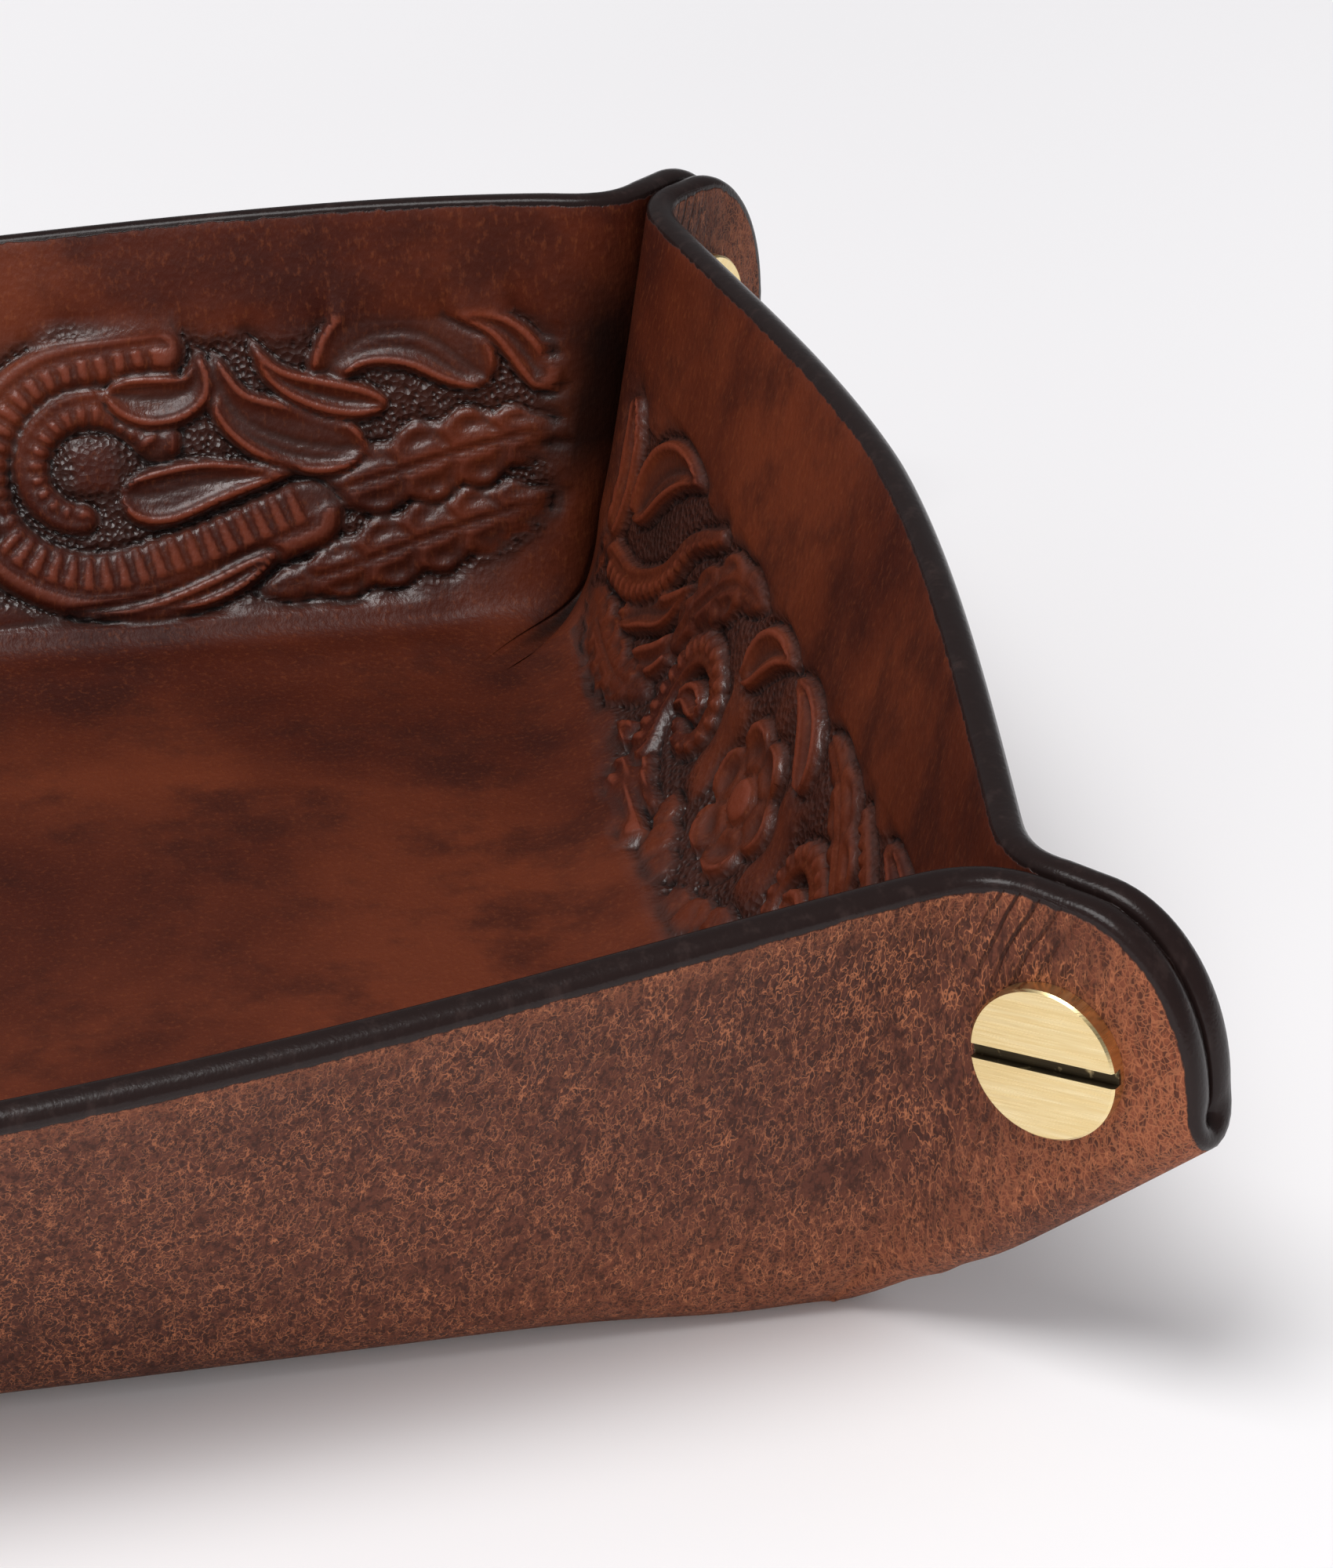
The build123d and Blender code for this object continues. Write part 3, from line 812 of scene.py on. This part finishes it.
# the flesh side: a net of cells and squiggles of pale fibre, and the creases above the posts, their lines
# painted darker as shade
warp = node(tree, "TexNoise", Vector=place, Scale=1100.0, Detail=1.0).outputs["Color"]
warped = vector_maths(tree, "MULTIPLY_ADD", warp, (0.0009, 0.0009, 0.0009), place).outputs[0]
net = node(tree, "TexVoronoi", {"feature": "DISTANCE_TO_EDGE"}, Vector=warped, Scale=2300.0)
net = net.outputs["Distance"]
thin_fibre = times(tree, squiggles(tree, tall, 2700, 0.042), 0.65)
fibre = maths(tree, "MAXIMUM", squiggles(tree, tall, 1250, 0.021), thin_fibre)
fibre = times(tree, fibre, fit(tree, broken, 0.34, 0.52))
fibre = times(tree, fibre, fit(tree, patch, 0.34, 0.64, 0.6, 1.0))
# the net shows more in the paler parts and in the painted light on the ear
paler_and_lit_net = times(tree, fit(tree, net, 0.13, 0.02), times(tree, paler_and_lit_here, 0.75))
fibre = maths(tree, "MAXIMUM", fibre, paler_and_lit_net)
wander = times(tree, noise(tree, place, 150, 2, 0.5), 9.0)
wave = maths(tree, "SINE", maths(tree, "ADD", times(tree, field(tree, "slant"), 4.4), wander))
crease = times(tree, fit(tree, wave, 0.55, 1.0), field(tree, "wrinkled"))
flesh_colour = mix(tree, fit(tree, cloud, 0.36, 0.64), FLESH_DARK, FLESH_WARM)
# paler parts, and painted light on the lit part of the ear
flesh_colour = mix(tree, times(tree, paler_and_lit_here, 0.85), flesh_colour, FLESH_PALER_AND_LIT)
flesh_colour = mix(tree, fit(tree, fine, 0.42, 0.6, 0, 0.7), flesh_colour, FLESH_SPECK)
flesh_colour = mix(tree, fibre, flesh_colour, FIBRE)
# painted shade along the creases
flesh_colour = mix(tree, times(tree, crease, 0.9), flesh_colour, PAINTED_CREASE_SHADE)

# the paint laps over the rim with an uneven border
uneven = times(tree, maths(tree, "SUBTRACT", broken, 0.5), 0.7)
painted = fit(tree, maths(tree, "ADD", field(tree, "from_rim"), uneven), 0.34, 0.16)
# lighter worn patches on the paint, which also stand in for a highlight on its lit bevel
paint = mix(tree, fit(tree, broken, 0.5, 0.74), PAINT, PAINT_WORN_AND_HIGHLIGHT)
body_colour = mix(tree, painted, mix(tree, on_flesh, grain_colour, flesh_colour), paint)

# the tooling is handled smoother than the plain leather, and the paint is smoothest
handled = fit(tree, maths(tree, "ABSOLUTE", tooling), 0.02, 0.15)
plain_gloss = fit(tree, patch, 0.3, 0.7, 0.42, 0.56)
grain_gloss = maths(tree, "SUBTRACT", plain_gloss, times(tree, handled, 0.12))
gloss = blend(tree, on_flesh, grain_gloss, fit(tree, broken, 0.35, 0.7, 0.66, 0.56))
gloss = blend(tree, painted, gloss, 0.27)
shine = maths(tree, "ADD", 0.2, times(tree, handled, 0.3))
stipple = times(tree, cells, maths(tree, "ADD", times(tree, matted_here, 3.5), 0.35))
flesh_height = maths(tree, "SUBTRACT", times(tree, net, 1.2), times(tree, crease, 3.0))
height = blend(tree, on_flesh, stipple, flesh_height)
height = maths(tree, "ADD", height, times(tree, patch, 2.2))
height = maths(tree, "ADD", height, times(tree, fine, 0.7))
height = times(tree, height, fit(tree, painted, 0.0, 1.0, 1.0, 0.3))
bump = node(tree, "Bump", Height=height, Strength=0.6, Distance=0.00012).outputs[0]
surface = node(tree, "BsdfPrincipled", Base_Color=body_colour, Roughness=gloss, Normal=bump)
tree.links.new(shine, surface.inputs["Specular IOR Level"])
node(tree, "OutputMaterial", Surface=surface.outputs[0])
leather.data.materials.append(leather_skin)
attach(leather, "leather_tray")
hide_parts("leather_tray")

# Binding posts and screws: turned brass, brushed all over in one direction.
# A screw's head is brushed along its slot.
CORNERS = {
    "front_right": (1, -1),
    "front_left": (-1, -1),
    "back_right": (1, 1),
    "back_left": (-1, 1),
}
SLOT_TURNS = {"front_right": 5, "front_left": 62, "back_right": -36, "back_left": 20}
HOLE_REACH = 13
HOLE_HEIGHT = 23.4
HEAD_FACE = 3.59
SLOT_FROM = 3.53
SLOT_FLOOR = 2.8
SLOT_HALF = 0.52


def dot(tree, vector, axis):
    return vector_maths(tree, "DOT_PRODUCT", vector, list(axis)).outputs["Value"]


def streaks(tree, run, run_scale, over, over_scale):
    """A noise drawn out along the brushing."""
    place = node(tree, "CombineXYZ", X=times(tree, run, run_scale), Y=times(tree, over, over_scale))
    return noise(tree, place.outputs[0], 1.0, 3, 0.6)


for corner, (sx, sy) in CORNERS.items():
    brass, tree = new_material("brushed_brass_" + corner)
    place = node(tree, "TexCoord").outputs["Object"]
    hole_x = sx * (HALF_LENGTH + HOLE_REACH * DIAGONAL) * MM
    hole_y = sy * (HALF_WIDTH + HOLE_REACH * DIAGONAL) * MM
    about = vector_maths(tree, "SUBTRACT", place, (hole_x, hole_y, HOLE_HEIGHT * MM)).outputs[0]
    along_ear = Vector((sx, sy, 0)).normalized()
    out_of_head = Vector((-sx, sy, 0)).normalized()
    turn = radians(SLOT_TURNS[corner])
    brushed = along_ear * cos(turn) + out_of_head.cross(along_ear) * sin(turn)
    run = dot(tree, about, brushed)
    over = dot(tree, about, out_of_head.cross(brushed))
    out_at = dot(tree, about, out_of_head)
    hair = streaks(tree, run, 220.0, over, 9000.0)
    wide = streaks(tree, run, 90.0, over, 1500.0)
    colour = mix(tree, fit(tree, wide, 0.35, 0.7), rgb(0.93, 0.73, 0.37), rgb(0.99, 0.83, 0.48))
    colour = mix(tree, fit(tree, hair, 0.3, 0.7, 0, 0.3), colour, rgb(0.78, 0.57, 0.25))

    # painted shade in the slot
    within_slot = maths(tree, "LESS_THAN", maths(tree, "ABSOLUTE", over), SLOT_HALF * MM)
    slot_shade = times(tree, fit(tree, out_at, HEAD_FACE * MM, SLOT_FROM * MM), within_slot)
    slot_shade = times(tree, slot_shade, maths(tree, "GREATER_THAN", out_at, SLOT_FLOOR * MM))
    slot_shade = times(tree, slot_shade, fit(tree, noise(tree, place, 900, 3, 0.6), 0.7, 0.56, 0.35, 0.96))
    colour = mix(tree, slot_shade, colour, rgb(0.055, 0.042, 0.028))
    gloss = maths(tree, "ADD", fit(tree, hair, 0.3, 0.7, 0.24, 0.4), times(tree, slot_shade, 0.3))
    bump = node(tree, "Bump", Height=hair, Strength=0.3, Distance=0.00002).outputs[0]
    surface = node(tree, "BsdfPrincipled", Base_Color=colour, Roughness=gloss, Normal=bump)
    surface.inputs["Metallic"].default_value = 1.0
    node(tree, "OutputMaterial", Surface=surface.outputs[0])
    for piece in ("_binding_post", "_slotted_screw"):
        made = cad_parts[corner + piece]
        made.data.materials.clear()
        made.data.materials.append(brass)

# Studio: a pale sweep under the tray, one broad soft lamp overhead, to the left and in front,
# and a low lamp in front of the long wall that lights it but isn't mirrored in the gloss.
bpy.ops.object.select_all(action="DESELECT")
bpy.ops.mesh.primitive_plane_add(size=8, location=(0, 0, 0))
sweep = bpy.context.object
sweep.name = "pale_sweep"
paper, tree = new_material("pale_paper")
surface = node(tree, "BsdfDiffuse", Color=rgb(0.9, 0.888, 0.894))
node(tree, "OutputMaterial", Surface=surface.outputs[0])
sweep.data.materials.append(paper)


def lamp(name, place, size, power):
    light = bpy.data.lights.new(name, "AREA")
    light.size = size
    light.energy = power
    made = bpy.data.objects.new(name, light)
    made.location = place
    made.rotation_euler = (-Vector(place)).to_track_quat("-Z", "Y").to_euler()
    bpy.context.scene.collection.objects.link(made)
    return made


# the sky is dimmer where it is mirrored, so that the oiled leather keeps its depth
SKY_STRENGTH = 0.46
DIMMER_MIRRORED = 0.29
lamp("broad lamp overhead", (-0.28, -0.32, 1.12), 0.6, 10.6)
lamp("matt low lamp in front", (-0.45, -1.25, 0.2), 0.4, 8).visible_glossy = False
world = bpy.data.worlds.new("studio")
bpy.context.scene.world = world
world.use_nodes = True
background = world.node_tree.nodes["Background"]
tree = world.node_tree
mirrored_ray = node(tree, "LightPath").outputs["Is Glossy Ray"]
strength = maths(tree, "SUBTRACT", SKY_STRENGTH, times(tree, mirrored_ray, DIMMER_MIRRORED))
background.inputs["Color"].default_value = (0.97, 0.97, 1.0, 1)
tree.links.new(strength, background.inputs["Strength"])

# Camera where the photograph was taken from, with its framing.
CAMERA_PLACE = (7.02, -335.3, 188.64)
CAMERA_ELEVATION = 27.25
CAMERA_AZIMUTH = -11.72
lens = bpy.data.cameras.new("camera")
lens.sensor_fit = "VERTICAL"
lens.sensor_height = 36
lens.lens = 126
lens.clip_start = 0.01
camera = bpy.data.objects.new("camera", lens)
camera.location = Vector(CAMERA_PLACE) * MM
camera.rotation_euler = (radians(90 - CAMERA_ELEVATION), 0, radians(CAMERA_AZIMUTH))
bpy.context.scene.collection.objects.link(camera)
bpy.context.scene.camera = camera
bpy.context.scene.view_settings.view_transform = "Standard"
